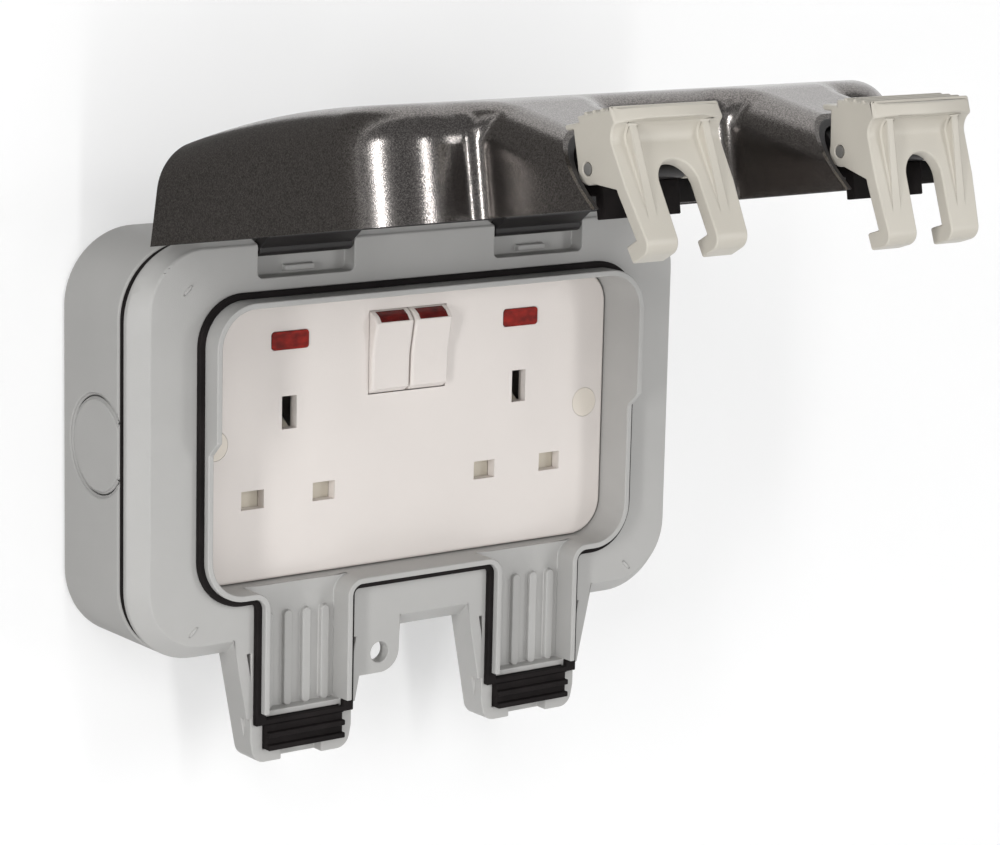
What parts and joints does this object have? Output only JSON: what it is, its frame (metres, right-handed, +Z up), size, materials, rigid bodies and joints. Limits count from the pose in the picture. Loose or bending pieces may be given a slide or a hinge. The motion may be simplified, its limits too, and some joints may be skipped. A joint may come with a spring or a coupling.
{
  "type": "outdoor weatherproof socket",
  "caption": "Wall-mounted weatherproof switched twin outlet with a hinged metal lid, hooked latches, sealed rim and ribbed cable legs, lid open.",
  "frame": {"origin": "middle of the flat back face that meets the wall", "axes": "+X to the right seen from the front, +Y into the wall, +Z up"},
  "size_m": [0.176, 0.1923, 0.1866],
  "materials": {
    "box_grey": "fine moulded grain",
    "plate_white": "smooth moulded",
    "cap_ivory": "smooth moulded",
    "latch_grey": "fine moulded grain",
    "lid_metal": "dark satin with a fine sparkle",
    "liner_black": "moulded",
    "seal_rubber": "soft matte",
    "steel": "plain",
    "brass": "rolled strip",
    "base_white": "moulded",
    "shutter_ivory": "moulded",
    "neon_red": "clear tinted",
    "flash_red": "smooth",
    "lamp_glass": "clear"
  },
  "bodies": {
    "housing": {"mounting_box": "box_grey", "box_seal": "seal_rubber", "front_frame": "box_grey", "hinge_pins": "steel", "lid_seal": "seal_rubber", "socket_plate": "plate_white", "socket_base": "base_white", "plate_screws": "steel", "rocker_pin": "steel", "neutral_bar": "brass", "earth_bar": "brass", "live_feed": "brass", "terminal_screws": "steel", "screw_cap_left": "cap_ivory", "neon_lens_left": "neon_red", "neon_lamp_left": "lamp_glass", "shutter_spring_left": "steel", "live_contact_left": "brass", "screw_cap_right": "cap_ivory", "neon_lens_right": "neon_red", "neon_lamp_right": "lamp_glass", "shutter_spring_right": "steel", "live_contact_right": "brass"},
    "lid": {"lid_skin": "lid_metal", "lid_liner": "liner_black", "latch_pins": "steel", "lid_cable_pads": "seal_rubber"},
    "latch_left": {"latch_left": "latch_grey"},
    "latch_right": {"latch_right": "latch_grey"},
    "rocker_left": {"rocker_left": "plate_white", "rocker_flash_left": "flash_red"},
    "shutter_left": {"shutter_left": "shutter_ivory"},
    "rocker_right": {"rocker_right": "plate_white", "rocker_flash_right": "flash_red"},
    "shutter_right": {"shutter_right": "shutter_ivory"}
  },
  "joints": [
    {"name": "lid_hinge", "type": "hinge", "parent": "housing", "child": "lid", "pos_m": [0, -0.0349, 0.0516], "axis": [1, 0, 0], "range_deg": [0, 100]},
    {"name": "latch_left_pivot", "type": "hinge", "parent": "lid", "child": "latch_left", "pos_m": [-0.0374, -0.17186, 0.08743], "axis": [1, 0, 0], "range_deg": [-8, 55]},
    {"name": "latch_right_pivot", "type": "hinge", "parent": "lid", "child": "latch_right", "pos_m": [0.0374, -0.17186, 0.08743], "axis": [1, 0, 0], "range_deg": [-20, 43]},
    {"name": "rocker_left_pivot", "type": "hinge", "parent": "housing", "child": "rocker_left", "pos_m": [-0.0063, -0.0249, 0.0203], "axis": [1, 0, 0], "range_deg": [-12, 0]},
    {"name": "rocker_right_pivot", "type": "hinge", "parent": "housing", "child": "rocker_right", "pos_m": [0.0063, -0.0249, 0.0203], "axis": [1, 0, 0], "range_deg": [-12, 0]},
    {"name": "shutter_left_slide", "type": "slide", "parent": "housing", "child": "shutter_left", "axis": [0, 0, -1], "range_m": [0, 0.0056], "stiffness_N_per_m": 150, "springref_m": -0.003, "deforming": ["shutter_spring_left"]},
    {"name": "shutter_right_slide", "type": "slide", "parent": "housing", "child": "shutter_right", "axis": [0, 0, -1], "range_m": [0, 0.0056], "stiffness_N_per_m": 150, "springref_m": -0.003, "deforming": ["shutter_spring_right"]}
  ]
}
